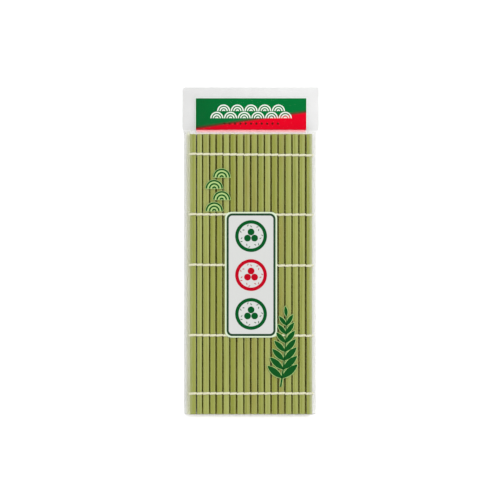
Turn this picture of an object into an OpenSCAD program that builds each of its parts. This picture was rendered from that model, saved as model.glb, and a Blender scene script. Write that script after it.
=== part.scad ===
// Sushi rolling mat, folded once and packed flat in a clear bag.
// X runs across the slats, Y along them and Z up from the surface that the bag lies on.
// The origin is the middle of the bag's outline, on that surface.

/* [Slats] */
// Length of every slat
slat_length = 240; // [150:1:300]
// Usual width of a slat
slat_width = 4.9; // [3.5:0.1:8]
// Thickness of a slat at its crown
slat_thickness = 2; // [1.5:0.1:4]
// How far the skin side stands proud in its middle
skin_crown = 0.2; // [0.05:0.05:0.4]
// Radius along the slats' long edges
edge_radius = 0.4; // [0.2:0.05:0.6]
// Usual gap between neighbouring slats
slat_gap = 0.93; // [0.85:0.01:2]
// Slats in each of the two leaves
slats_per_leaf = 18; // [6:1:24]

/* [Strings] */
// Thickness of one strand where it crosses a slat
strand_thickness = 0.7; // [0.4:0.05:0.9]
// Width of one strand where it lies across a slat
strand_width = 2; // [1:0.05:2.4]
// Width of one strand where the two pass each other in a gap
strand_width_in_gap = 0.92; // [0.5:0.02:1.4]
// Distance from a strand to the slat that it holds
strand_clearance = 0.1; // [0.05:0.01:0.2]
// How far the strings stand off the slats round the fold
fold_bulge = 0.2; // [0:0.05:0.5]
// Length of the knot at a string's free end, along Z
knot_height = 1; // [0.6:0.1:1.4]
// Size of the knot away from the slat
knot_depth = 0.9; // [0.6:0.1:1.4]
// Distance of the top string row from the slats' top end
top_row_inset = 17; // [8:0.1:30]
// Distance of the bottom string row from the slats' bottom end
bottom_row_inset = 17.9; // [8:0.1:30]
// Distance between the strings of the two leaves where they face each other
leaf_clearance = 0.3; // [0.2:0.05:1]

/* [Bag] */
// Thickness of the bag's film
film_thickness = 0.2; // [0.1:0.05:0.4]
// Distance from the film to the strings
film_clearance = 0.3; // [0.2:0.05:1]
// Width of the flat film beside the fold
fold_side_margin = 4.9; // [3:0.1:15]
// Width of the flat film beside the free edges
free_side_margin = 3.3; // [3:0.1:15]
// How far the film reaches past the slats at the open mouth
mouth_margin = 0.3; // [0.1:0.1:5]
// Length of the flat header past the slats
header_length = 40.5; // [32:0.5:80]
// How far the header is wider than the body, on each side
header_overhang = 1.9; // [0:0.1:4]
// Width of the welded seam round the header
seam_width = 1.5; // [0.8:0.1:3]
// How far the film leans in towards its top, beside the fold
fold_side_lean = 3.5; // [1:0.1:6]
// How far the film leans in towards its top, beside the free edges
free_side_lean = 2; // [1:0.1:6]
// Distance from the slats to where the film has come down in the header
header_slope_end = 3.4; // [2:0.1:8]

/* [Header card] */
// Width of the card
card_width = 95; // [60:0.1:105]
// Height of the card
card_height = 27.2; // [15:0.1:28]
// Thickness of the card
card_thickness = 0.3; // [0.2:0.05:0.6]
// Distance from the slats to the card's lower edge
card_above_slats = 3.8; // [3.6:0.1:8]
// Distance of the card's middle from the bag's middle, across the slats
card_shift = 0.9; // [-4:0.1:4]
// Distance between the card and the film over it
card_clearance = 0.05; // [0.05:0.01:0.2]

/* [Front panel] */
// Width of the white panel
panel_width = 44.5; // [20:0.1:60]
// Height of the white panel
panel_height = 107.5; // [50:0.1:120]
// Radius of the panel's corners
panel_corner = 5.1; // [1:0.1:10]
// Thickness of the panel
panel_thickness = 0.12; // [0.08:0.01:0.3]
// Distance of the panel's middle from the mat's middle, across the slats
panel_shift = 0.1; // [-10:0.1:10]
// Distance of the panel's middle below the slats' middle, along the slats
panel_drop = 0.5; // [-20:0.1:20]

/* [Hidden] */
// Cut strips are never all alike. How much wider than usual each slat of the front leaf and of the back leaf is,
// counted from the fold. Both lists have the same sum, so that the leaves' free edges meet.
FRONT_WIDTHS = [0.55, -0.55, 0.3, -0.3, -0.1, 0.1, -0.15, 0.35, -0.05,
    0.2, -0.15, -0.15, 0.05, -0.05, 0.3, 0.15, -0.05, 0.1];
BACK_WIDTHS = [-0.25, 0.8, 0.55, -0.2, -0.1, 0.2, -0.1, 0, 0.25,
    0.3, 0, -0.2, 0.3, 0.2, -0.3, -0.15, -0.15, -0.6];
// How much wider than usual the gap after each slat is. The back leaf has them in the opposite order.
GAPS = [-0.1, -0.1, -0.05, 0.1, 0.05, -0.05, 0.2, -0.1, 0.2, 0, -0.1, 0.2, 0.05, 0.05, -0.1, -0.1, 0.2];
// Where the string rows lie, as shares of the way from the top row to the bottom row
ROW_SHARES = [0, 0.252, 0.463, 0.757, 1];
// How far each row wanders along Y on its way from the fold to a free edge
ROW_DRIFTS = [-1.3, -0.5, -0.8, -0.4, 0];

// Sides of a strand's cross-section
STRAND_SIDES = 6;
// Points on each small rounded corner, and segments on the crowned side of a slat
CORNER_STEPS = 3;
CROWN_STEPS = 6;
// How far a strand's inner face lies in from the slat's edge and up from its face at a shoulder
SHOULDER_IN = 0.47 * strand_clearance;
SHOULDER_UP = 0.33 * strand_clearance;
// Share of a strand's full thickness that one diagonal step takes in X and in Z
DIAGONAL = sqrt(0.5);
// Gap between the end of a strand and its knot
KNOT_GAP = 0.05;
// Share of its full size that a knot has at its two ends
KNOT_TAPER = 0.65;
// Overshoot that makes a cut clear of the face it leaves through
CUT = 1;
BACK = -1;
FRONT = 1;
$fn = 64;

// Widths and places across the mat, counted from the fold at its left edge
function offset_in(list, i) = list[(i - 1) % len(list)];
function width_of(leaf, i) = slat_width + offset_in(leaf == FRONT ? FRONT_WIDTHS : BACK_WIDTHS, i);
function gap_after(leaf, i) = slat_gap + offset_in(GAPS, leaf == FRONT ? i : len(GAPS) + 1 - i % len(GAPS));
function start_of(leaf, i) = i < 2 ? 0 : start_of(leaf, i - 1) + width_of(leaf, i - 1) + gap_after(leaf, i - 1);
function leaf_width(leaf) = start_of(leaf, slats_per_leaf) + width_of(leaf, slats_per_leaf);
mat_width = max(leaf_width(BACK), leaf_width(FRONT));
bag_width = fold_side_margin + mat_width + free_side_margin;
mat_left = fold_side_margin - bag_width / 2;
mat_right = mat_left + mat_width;
mat_middle = (mat_left + mat_right) / 2;
function slat_x(leaf, i) = mat_left + start_of(leaf, i) + width_of(leaf, i) / 2;

// Places along the slats
bag_length = mouth_margin + slat_length + header_length;
mouth_y = -bag_length / 2;
slats_bottom = mouth_y + mouth_margin;
slats_top = slats_bottom + slat_length;
header_top = slats_top + header_length;
slats_middle = (slats_bottom + slats_top) / 2;
top_row_y = slats_top - top_row_inset;
bottom_row_y = slats_bottom + bottom_row_inset;
function row_y(row) = top_row_y + (bottom_row_y - top_row_y) * ROW_SHARES[row - 1];

// Heights: film, strings, back leaf, strings, front leaf, strings, film, panel
string_room = strand_clearance + strand_thickness;
back_z = film_thickness + film_clearance + string_room + slat_thickness / 2;
leaf_pitch = slat_thickness + 2 * string_room + leaf_clearance;
front_z = back_z + leaf_pitch;
film_under_z = front_z + slat_thickness / 2 + string_room + film_clearance;
film_top_z = film_under_z + film_thickness;
function leaf_z(leaf) = leaf == FRONT ? front_z : back_z;

// Node names
function two_digits(i) = str(i < 10 ? "0" : "", i);
function slat_name(leaf, i) = str(leaf == FRONT ? "front_slat_" : "back_slat_", two_digits(i));
function row_name(row) = str("string_row_", row);

// One bamboo slat. Its skin side is gently crowned and faces outwards in both leaves.
function arc_points(centre, radius, from, to, steps) =
    [for (k = [0:steps]) let(a = from + (to - from) * k / steps) centre + radius * [cos(a), sin(a)]];

function slat_outline(width) =
    let(
        half = width / 2,
        low = -slat_thickness / 2,
        shoulder = slat_thickness / 2 - skin_crown,
        flat = half - edge_radius
    )
    concat(
        arc_points([-flat, low + edge_radius], edge_radius, 180, 270, CORNER_STEPS),
        arc_points([flat, low + edge_radius], edge_radius, 270, 360, CORNER_STEPS),
        arc_points([flat, shoulder - edge_radius], edge_radius, 0, 90, CORNER_STEPS),
        [for (k = [1:CROWN_STEPS - 1])
            let(u = 1 - 2 * k / CROWN_STEPS) [flat * u, shoulder + skin_crown * (1 - u * u)]],
        arc_points([-flat, shoulder - edge_radius], edge_radius, 90, 180, CORNER_STEPS)
    );

module slat(leaf, i) {
    color(leaf == FRONT ? "darkkhaki" : "olivedrab")
        translate([slat_x(leaf, i), slats_top, leaf_z(leaf)])
            rotate([90, 0, 0])
                linear_extrude(height = slat_length)
                    scale([1, leaf])
                        polygon(slat_outline(width_of(leaf, i)));
}

// Each string row is two strands that twist half a turn in every gap: where one passes outside a slat, the other
// passes inside it. A strand is a list of rings, each [middle, direction in X and Z, width, thickness].
strand_offset = (strand_width_in_gap + KNOT_GAP) / 2;

// A ring over a slat. travel is the strand's direction in X, out is +1 for upwards and -1 for downwards,
// and step is -1 at the shoulder where it comes on, 0 in the middle and +1 at the shoulder where it leaves.
function pass_ring(x, y, z, half, travel, out, step, y_side) =
    let(
        lift = strand_thickness / 2,
        side = half + DIAGONAL * lift - SHOULDER_IN,
        rise = slat_thickness / 2 + SHOULDER_UP + DIAGONAL * lift
    )
    step == 0
        ? [[x, y, z + out * (slat_thickness / 2 + strand_clearance + lift)], [travel, 0],
            strand_width, strand_thickness]
        : [[x + travel * step * side, y + step * y_side * strand_offset, z + out * rise],
            [travel, -step * out] * DIAGONAL, strand_width_in_gap, strand_thickness];

// The place of a row at slat i of a leaf
function drift_at(row, leaf, i) = ROW_DRIFTS[row - 1] * (slat_x(leaf, i) - mat_left) / mat_width;

function slat_pass(row, leaf, i, outside) =
    let(travel = leaf, out = leaf * outside, y = row_y(row) + drift_at(row, leaf, i))
    [for (step = [-1:1])
        pass_ring(slat_x(leaf, i), y, leaf_z(leaf), width_of(leaf, i) / 2, travel, out, step, outside)];

// Round the fold: the outside strand of the back leaf climbs beside it and goes in under the front leaf, and the
// inside strand comes out and climbs beside the front leaf.
function fold_rings(row, outside) =
    let(
        y = row_y(row) + outside * strand_offset,
        lift = strand_thickness / 2,
        clear_x = mat_left - strand_clearance - lift - fold_bulge,
        inner_z = leaf_z(outside > 0 ? FRONT : BACK) - outside * (slat_thickness / 2 + strand_clearance + lift),
        side_ring = [[clear_x, y, leaf_z(outside > 0 ? BACK : FRONT)], [0, 1],
            strand_width_in_gap, strand_thickness],
        turn_ring = [[mat_left - SHOULDER_IN, y, inner_z], [outside, 1] * DIAGONAL,
            strand_width_in_gap, strand_thickness]
    )
    outside > 0 ? [side_ring, turn_ring] : [turn_ring, side_ring];

// Which side of slat i a strand lies on: the two strands and neighbouring slats take turns
function side_of(strand, leaf, i) = ((leaf == FRONT ? i + 1 : i) + strand) % 2 == 0 ? 1 : -1;

function drop_last(list) = [for (k = [0:len(list) - 2]) list[k]];
function drop_first(list) = [for (k = [1:len(list) - 1]) list[k]];

// The end ring of a strand beside its knot
function end_ring(row, strand, leaf) =
    let(
        i = slats_per_leaf,
        outside = side_of(strand, leaf, i),
        out = leaf * outside,
        y_side = leaf * outside
    )
    [[mat_left + leaf_width(leaf) + strand_clearance + strand_thickness / 2,
        row_y(row) + drift_at(row, leaf, i) + y_side * strand_offset,
        leaf_z(leaf) + out * (knot_height / 2 + KNOT_GAP)],
        [0, -leaf * out], strand_width_in_gap, strand_thickness];

function strand_rings(row, strand) =
    let(
        n = slats_per_leaf,
        first = side_of(strand, BACK, 1),
        back_passes = [for (i = [n:-1:2]) each slat_pass(row, BACK, i, side_of(strand, BACK, i))],
        back_last = slat_pass(row, BACK, 1, first),
        front_first = slat_pass(row, FRONT, 1, -first),
        front_passes = [for (i = [2:n]) each slat_pass(row, FRONT, i, side_of(strand, FRONT, i))]
    )
    concat(
        [end_ring(row, strand, BACK)],
        back_passes,
        first > 0 ? back_last : drop_last(back_last),
        fold_rings(row, first),
        first > 0 ? drop_first(front_first) : front_first,
        front_passes,
        [end_ring(row, strand, FRONT)]
    );

function knot_rings(row, leaf) =
    let(
        x = mat_left + leaf_width(leaf) + strand_clearance + knot_depth / 2,
        y = row_y(row) + drift_at(row, leaf, slats_per_leaf),
        wide = 2 * strand_width_in_gap + KNOT_GAP
    )
    [for (k = [-1, -0.5, 0.5, 1])
        let(size = abs(k) == 1 ? KNOT_TAPER : 1)
        [[x, y, leaf_z(leaf) + k * knot_height / 2], [0, 1], wide * size, knot_depth * size]];

// The corners of one ring: a flat-topped hexagon that is as wide and as thick as the ring says
function ring_corners(ring) =
    let(middle = ring[0], normal = [-ring[1].y, ring[1].x], tall = ring[3] / 2 / sin(60))
    [for (k = [0:STRAND_SIDES - 1])
        let(a = 360 * k / STRAND_SIDES)
        middle + [normal.x * tall * sin(a), ring[2] / 2 * cos(a), normal.y * tall * sin(a)]];

function tube_faces(count, start) =
    let(s = STRAND_SIDES, last = start + (count - 1) * s)
    concat(
        [[for (k = [0:s - 1]) start + k]],
        [for (r = [0:count - 2], k = [0:s - 1])
            let(a = start + r * s + k, b = start + r * s + (k + 1) % s)
            each [[a, a + s, b + s], [a, b + s, b]]],
        [[for (k = [s - 1:-1:0]) last + k]]
    );

// Where each tube's points start in the shared list
function starts(tubes, k) = k == 0 ? 0 : starts(tubes, k - 1) + len(tubes[k - 1]) * STRAND_SIDES;

module string_row(row) {
    tubes = [
        strand_rings(row, 0),
        strand_rings(row, 1),
        knot_rings(row, BACK),
        knot_rings(row, FRONT)
    ];
    color("wheat")
        polyhedron(
            points = [for (tube = tubes, ring = tube) each ring_corners(ring)],
            faces = [for (k = [0:len(tubes) - 1]) each tube_faces(len(tubes[k]), starts(tubes, k))]
        );
}

// The bag: a flat back film, a front film that is raised over the mat, and an open mouth at the slats' bottom end
header_start = slats_top + header_slope_end;
header_half = bag_width / 2 + header_overhang;
card_top_z = film_thickness + card_thickness;
header_film_z = card_top_z + card_clearance;

module bag_outline() {
    translate([-bag_width / 2, mouth_y])
        square([bag_width, header_top - mouth_y]);
    translate([-header_half, header_start])
        square([2 * header_half, header_top - header_start]);
}

module bag_back_film() {
    color("gainsboro", 0.5)
        linear_extrude(height = film_thickness)
            bag_outline();
}

// A block with sloping sides, from its lower rectangle [x0, x1, y0, y1] to its upper one
module sloped_block(low, low_z, high, high_z) {
    function corners(r, z) = [[r[0], r[2], z], [r[1], r[2], z], [r[1], r[3], z], [r[0], r[3], z]];
    polyhedron(
        points = concat(corners(low, low_z), corners(high, high_z)),
        faces = [[0, 1, 2, 3], [7, 6, 5, 4], [0, 4, 5, 1], [1, 5, 6, 2], [2, 6, 7, 3], [3, 7, 4, 0]]
    );
}

module raised_film() {
    low = [-bag_width / 2, bag_width / 2, mouth_y, header_start];
    high = [mat_left - fold_side_margin + fold_side_lean, mat_right + free_side_margin - free_side_lean,
        mouth_y, slats_top + film_clearance + film_thickness];
    inset = [film_thickness, -film_thickness, -CUT, -film_thickness];
    difference() {
        sloped_block(low, film_thickness, high, film_top_z);
        sloped_block(low + inset, film_thickness, high + inset, film_under_z);
    }
}

module header_film() {
    difference() {
        translate([-header_half, header_start - film_thickness, film_thickness])
            cube([2 * header_half, header_top - header_start + film_thickness, header_film_z]);
        translate([seam_width - header_half, header_start - film_thickness - CUT, film_thickness])
            cube([2 * (header_half - seam_width), header_top - header_start + film_thickness + CUT - seam_width,
                header_film_z - film_thickness]);
    }
}

module bag_front_film() {
    color("whitesmoke", 0.5) {
        raised_film();
        header_film();
    }
}

module header_card() {
    color("seagreen")
        translate([card_shift - card_width / 2, slats_top + card_above_slats, film_thickness])
            cube([card_width, card_height, card_thickness]);
}

// The panel's outline has true round corners
module panel_outline() {
    inner = [panel_width - 2 * panel_corner, panel_height - 2 * panel_corner];
    square([panel_width, inner.y], center = true);
    square([inner.x, panel_height], center = true);
    for (x = [-1, 1], y = [-1, 1])
        translate([x * inner.x / 2, y * inner.y / 2])
            circle(r = panel_corner);
}

module front_panel() {
    color("white")
        translate([mat_middle + panel_shift, slats_middle - panel_drop, film_top_z])
            linear_extrude(height = panel_thickness)
                panel_outline();
}

for (i = [1:slats_per_leaf]) {
    slat(BACK, i);
    slat(FRONT, i);
}
for (row = [1:len(ROW_SHARES)])
    string_row(row);
bag_back_film();
bag_front_film();
header_card();
front_panel();
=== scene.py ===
"""Looks of a bamboo rolling mat, folded once and packed flat in a clear film bag.

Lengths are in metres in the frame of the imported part: X across the slats, Y along them, Z up.
"""

import logging
import math
import random
from collections.abc import Callable, Iterator, Sequence
from contextlib import contextmanager
from dataclasses import dataclass, field
from enum import Enum

import bpy
from mathutils import Matrix, Vector


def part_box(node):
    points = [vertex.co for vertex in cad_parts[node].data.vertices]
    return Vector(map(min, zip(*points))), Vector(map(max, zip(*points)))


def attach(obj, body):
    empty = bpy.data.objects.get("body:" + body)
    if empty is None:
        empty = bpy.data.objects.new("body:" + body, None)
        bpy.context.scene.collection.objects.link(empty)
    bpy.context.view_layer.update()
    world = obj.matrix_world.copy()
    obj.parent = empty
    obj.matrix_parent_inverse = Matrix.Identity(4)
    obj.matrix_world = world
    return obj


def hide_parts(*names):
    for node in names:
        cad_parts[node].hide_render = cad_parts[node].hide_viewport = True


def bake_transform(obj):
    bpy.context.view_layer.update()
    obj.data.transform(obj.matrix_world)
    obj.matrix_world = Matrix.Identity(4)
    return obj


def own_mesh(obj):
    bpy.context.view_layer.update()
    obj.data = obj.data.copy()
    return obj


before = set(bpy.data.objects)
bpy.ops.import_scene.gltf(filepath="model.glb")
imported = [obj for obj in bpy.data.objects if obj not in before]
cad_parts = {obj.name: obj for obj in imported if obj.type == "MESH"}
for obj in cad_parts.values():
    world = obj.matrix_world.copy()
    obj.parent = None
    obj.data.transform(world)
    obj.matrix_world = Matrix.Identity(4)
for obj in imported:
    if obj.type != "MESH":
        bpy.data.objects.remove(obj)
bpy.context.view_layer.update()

LOG = logging.getLogger("rolling_mat")
MM = 0.001
SLATS_PER_LEAF = 18

Colour = tuple[float, float, float]
Point = tuple[float, float, float]
Outline = list[tuple[float, float]]


def screen(red: int, green: int, blue: int) -> Colour:
    """Turns a colour as a screen shows it into the linear colour that a shader takes.

    Args:
        red: Level from 0 to 255.
        green: Level from 0 to 255.
        blue: Level from 0 to 255.

    Returns:
        The linear colour.
    """
    levels = [v / 255 for v in (red, green, blue)]
    linear = [v / 12.92 if v <= 0.04045 else ((v + 0.055) / 1.055) ** 2.4 for v in levels]
    return linear[0], linear[1], linear[2]


def smooth(share: float) -> float:
    """Returns a share of 0 to 1 with a soft start and a soft end."""
    held = min(1.0, max(0.0, share))
    return held * held * (3 - 2 * held)


class Leaf(Enum):
    """The two halves of the folded mat. The value is the way that its outer side faces."""

    BACK = -1
    FRONT = 1

    @property
    def word(self) -> str:
        """The word that the leaf's bodies start with."""
        return self.name.lower()


# Modelling


def deselect() -> None:
    """Deselects every object."""
    for chosen in list(bpy.context.selected_objects):
        chosen.select_set(False)


def activate(piece: bpy.types.Object) -> None:
    """Makes a piece the only selected object and the active one."""
    deselect()
    piece.select_set(True)
    bpy.context.view_layer.objects.active = piece


@contextmanager
def editing(piece: bpy.types.Object) -> Iterator[None]:
    """Opens a piece in edit mode, with nothing in it selected, and closes it afterwards."""
    activate(piece)
    bpy.ops.object.mode_set(mode="EDIT")
    bpy.ops.mesh.select_all(action="DESELECT")
    try:
        yield
    finally:
        bpy.ops.object.mode_set(mode="OBJECT")


def pick_faces(piece: bpy.types.Object, test: Callable[[Vector, Vector], bool]) -> None:
    """Selects the faces whose middle and normal pass a test. It is called in edit mode.

    Args:
        piece: The piece being edited.
        test: Says whether a face with this middle and this normal is wanted.
    """
    bpy.ops.mesh.select_mode(type="FACE")
    bpy.ops.mesh.select_all(action="DESELECT")
    bpy.ops.object.mode_set(mode="OBJECT")
    for face in piece.data.polygons:
        face.select = test(face.center, face.normal)
    bpy.ops.object.mode_set(mode="EDIT")


def added(name: str) -> bpy.types.Object:
    """Names the primitive that was just added, and brings its place into its mesh.

    Args:
        name: The name of the piece.

    Returns:
        The piece.
    """
    piece = bpy.context.active_object
    piece.name = name
    piece.data.name = name
    settle(piece)
    return piece


def settle(piece: bpy.types.Object) -> None:
    """Brings a piece's place, turn and size into its mesh, so that the object sits at the origin."""
    activate(piece)
    bpy.ops.object.transform_apply(location=True, rotation=True, scale=True)


def reshape(piece: bpy.types.Object, move: Callable[[Vector], Sequence[float]]) -> None:
    """Moves each vertex of a piece.

    Args:
        piece: The piece.
        move: Gives the new place of a vertex.
    """
    for vertex in piece.data.vertices:
        vertex.co = move(vertex.co)
    piece.data.update()


def modify(piece: bpy.types.Object, kind: str, **settings: object) -> None:
    """Adds a modifier to a piece and applies it.

    Args:
        piece: The piece.
        kind: The modifier's type.
        **settings: Its settings.
    """
    activate(piece)
    modifier = piece.modifiers.new(kind.title(), kind)
    for name, setting in settings.items():
        setattr(modifier, name, setting)
    bpy.ops.object.modifier_apply(modifier=modifier.name)


def joined(pieces: Sequence[bpy.types.Object], name: str) -> bpy.types.Object:
    """Joins pieces into one.

    Args:
        pieces: The pieces, which all sit at the origin.
        name: The name of the whole.

    Returns:
        The joined piece.
    """
    activate(pieces[0])
    for piece in pieces[1:]:
        piece.select_set(True)
    if len(pieces) > 1:
        bpy.ops.object.join()
    whole = bpy.context.active_object
    whole.name = name
    whole.data.name = name
    return whole


def copied(piece: bpy.types.Object, place: Matrix) -> bpy.types.Object:
    """Copies a piece with a mesh of its own.

    Args:
        piece: The piece to copy.
        place: Where the copy's mesh goes.

    Returns:
        The copy.
    """
    twin = piece.copy()
    twin.data = piece.data.copy()
    twin.data.transform(place)
    bpy.context.scene.collection.objects.link(twin)
    return twin


def soften(piece: bpy.types.Object, angle: float = 50) -> None:
    """Shades a piece smooth, except across edges sharper than an angle in degrees."""
    activate(piece)
    bpy.ops.object.shade_smooth_by_angle(angle=math.radians(angle))


def remove(piece: bpy.types.Object) -> None:
    """Deletes a pattern piece that is no longer needed."""
    bpy.data.objects.remove(piece)


# Materials


class Value:
    """A number that varies over a surface. Python expressions on it add Math nodes."""

    def __init__(self, graph: "Graph", socket: bpy.types.NodeSocket) -> None:
        """Wraps a socket of a graph."""
        self.graph = graph
        self.socket = socket

    def _math(self, operation: str, first: object, second: object = 0.0) -> "Value":
        """Adds one Math node.

        Args:
            operation: What the node works out.
            first: Its first value.
            second: Its second value.

        Returns:
            The node's result.
        """
        made = self.graph.node("ShaderNodeMath", {"operation": operation}, {0: first, 1: second})
        return Value(self.graph, made.outputs[0])

    def __add__(self, other: object) -> "Value":
        """Adds a number to this one."""
        return self._math("ADD", self, other)

    __radd__ = __add__

    def __sub__(self, other: object) -> "Value":
        """Takes a number from this one."""
        return self._math("SUBTRACT", self, other)

    def __rsub__(self, other: object) -> "Value":
        """Takes this number from another."""
        return self._math("SUBTRACT", other, self)

    def __mul__(self, other: object) -> "Value":
        """Multiplies this number."""
        return self._math("MULTIPLY", self, other)

    __rmul__ = __mul__

    def __truediv__(self, other: object) -> "Value":
        """Divides this number."""
        return self._math("DIVIDE", self, other)

    def __pow__(self, other: object) -> "Value":
        """Raises this number to a power."""
        return self._math("POWER", self, other)

    def __abs__(self) -> "Value":
        """Drops this number's sign."""
        return self._math("ABSOLUTE", self)

    def sine(self) -> "Value":
        """Returns the sine of this number of radians."""
        return self._math("SINE", self)

    def least(self, other: object) -> "Value":
        """Returns the smaller of two numbers."""
        return self._math("MINIMUM", self, other)

    def most(self, other: object) -> "Value":
        """Returns the larger of two numbers."""
        return self._math("MAXIMUM", self, other)

    def share(self, low: float, high: float) -> "Value":
        """Returns 0 at low and 1 at high, held between them. Low may be the larger."""
        return ((self - low) / (high - low)).most(0.0).least(1.0)


class Graph:
    """The node tree of one material, built round a Principled shader."""

    def __init__(self, name: str) -> None:
        """Starts a material with this name."""
        self.material = bpy.data.materials.new(name)
        self.material.use_nodes = True
        self.tree = self.material.node_tree
        self.tree.nodes.clear()
        self.shader = self.tree.nodes.new("ShaderNodeBsdfPrincipled")
        self.output = self.tree.nodes.new("ShaderNodeOutputMaterial")
        self.tree.links.new(self.shader.outputs[0], self.output.inputs["Surface"])
        self._places: list[Value] | None = None

    def node(self, kind: str, settings: dict | None = None, values: dict | None = None) -> bpy.types.Node:
        """Adds a node.

        Args:
            kind: The node's type.
            settings: What is set on the node first. "stops" are a ramp's places and colours.
            values: The value or the link of each socket.

        Returns:
            The node.
        """
        made = self.tree.nodes.new(kind)
        for name, setting in (settings or {}).items():
            if name == "stops":
                self._set_stops(made.color_ramp, setting)
            else:
                setattr(made, name, setting)
        for key, value in (values or {}).items():
            self.feed(made.inputs[key], value)
        return made

    @staticmethod
    def _set_stops(ramp: bpy.types.ColorRamp, stops: Sequence[tuple[float, Colour]]) -> None:
        """Gives a ramp its stops, in order."""
        while len(ramp.elements) < len(stops):
            ramp.elements.new(1.0)
        for element, (place, colour) in zip(ramp.elements, stops):
            element.position = place
            element.color = (*colour, 1.0)

    def feed(self, socket: bpy.types.NodeSocket, value: object) -> None:
        """Links a value to a socket, or sets the socket's own value.

        Args:
            socket: The socket.
            value: A Value, a socket, a colour or a number.
        """
        if isinstance(value, Value):
            value = value.socket
        if isinstance(value, bpy.types.NodeSocket):
            self.tree.links.new(value, socket)
        elif isinstance(value, tuple) and socket.type == "RGBA":
            socket.default_value = (*value, 1.0)
        else:
            socket.default_value = value

    def places(self) -> list[Value]:
        """Returns the X, Y and Z of the surface in the frame of the part."""
        if self._places is None:
            source = self.node("ShaderNodeTexCoord")
            parts = self.node("ShaderNodeSeparateXYZ", None, {0: source.outputs["Object"]})
            self._places = [Value(self, parts.outputs[k]) for k in range(3)]
        return self._places

    def noise(self, grain: Point, detail: float = 3.0, roughness: float = 0.55) -> Value:
        """Makes a cloudy pattern.

        Args:
            grain: The size of its grains along X, Y and Z.
            detail: How many finer layers it has.
            roughness: How strong the finer layers are.

        Returns:
            A number of about 0 to 1.
        """
        source = self.node("ShaderNodeTexCoord")
        stretch = self.node("ShaderNodeMapping", None, {
            "Vector": source.outputs["Object"], "Scale": tuple(1 / size for size in grain)})
        made = self.node("ShaderNodeTexNoise", None, {
            "Vector": stretch.outputs[0], "Scale": 1.0, "Detail": detail, "Roughness": roughness})
        return Value(self, made.outputs[0])

    def mix(self, share: object, first: object, second: object) -> bpy.types.NodeSocket:
        """Mixes two colours.

        Args:
            share: How much of the second one there is.
            first: The first colour.
            second: The second colour.

        Returns:
            The mixed colour's socket.
        """
        made = self.node("ShaderNodeMix", {"data_type": "RGBA"}, {0: share, 6: first, 7: second})
        return made.outputs[2]

    def relief(self, height: Value, depth: float, strength: float = 1.0) -> None:
        """Raises the surface by a pattern.

        Args:
            height: The pattern, from 0 to 1.
            depth: The height in metres that 1 stands for.
            strength: How much of it shows.
        """
        bump = self.node("ShaderNodeBump", None, {"Strength": strength, "Distance": depth, "Height": height})
        self.feed(self.shader.inputs["Normal"], bump.outputs[0])

    def finish(self, **values: object) -> bpy.types.Material:
        """Feeds the shader's sockets, by their names with _ for a space, and returns the material."""
        for name, value in values.items():
            self.feed(self.shader.inputs[name.replace("_", " ").title().replace("Ior", "IOR")], value)
        return self.material


def dress(piece: bpy.types.Object, material: bpy.types.Material) -> None:
    """Gives a piece its material.

    Args:
        piece: The piece.
        material: Its material.
    """
    piece.data.materials.clear()
    piece.data.materials.append(material)


@dataclass(frozen=True)
class SlatMood:
    """How one slat differs from the others, each from 0 to 1."""

    tint: float
    dryness: float
    left_edge: float
    right_edge: float
    vein_place: float
    vein_depth: float


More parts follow.
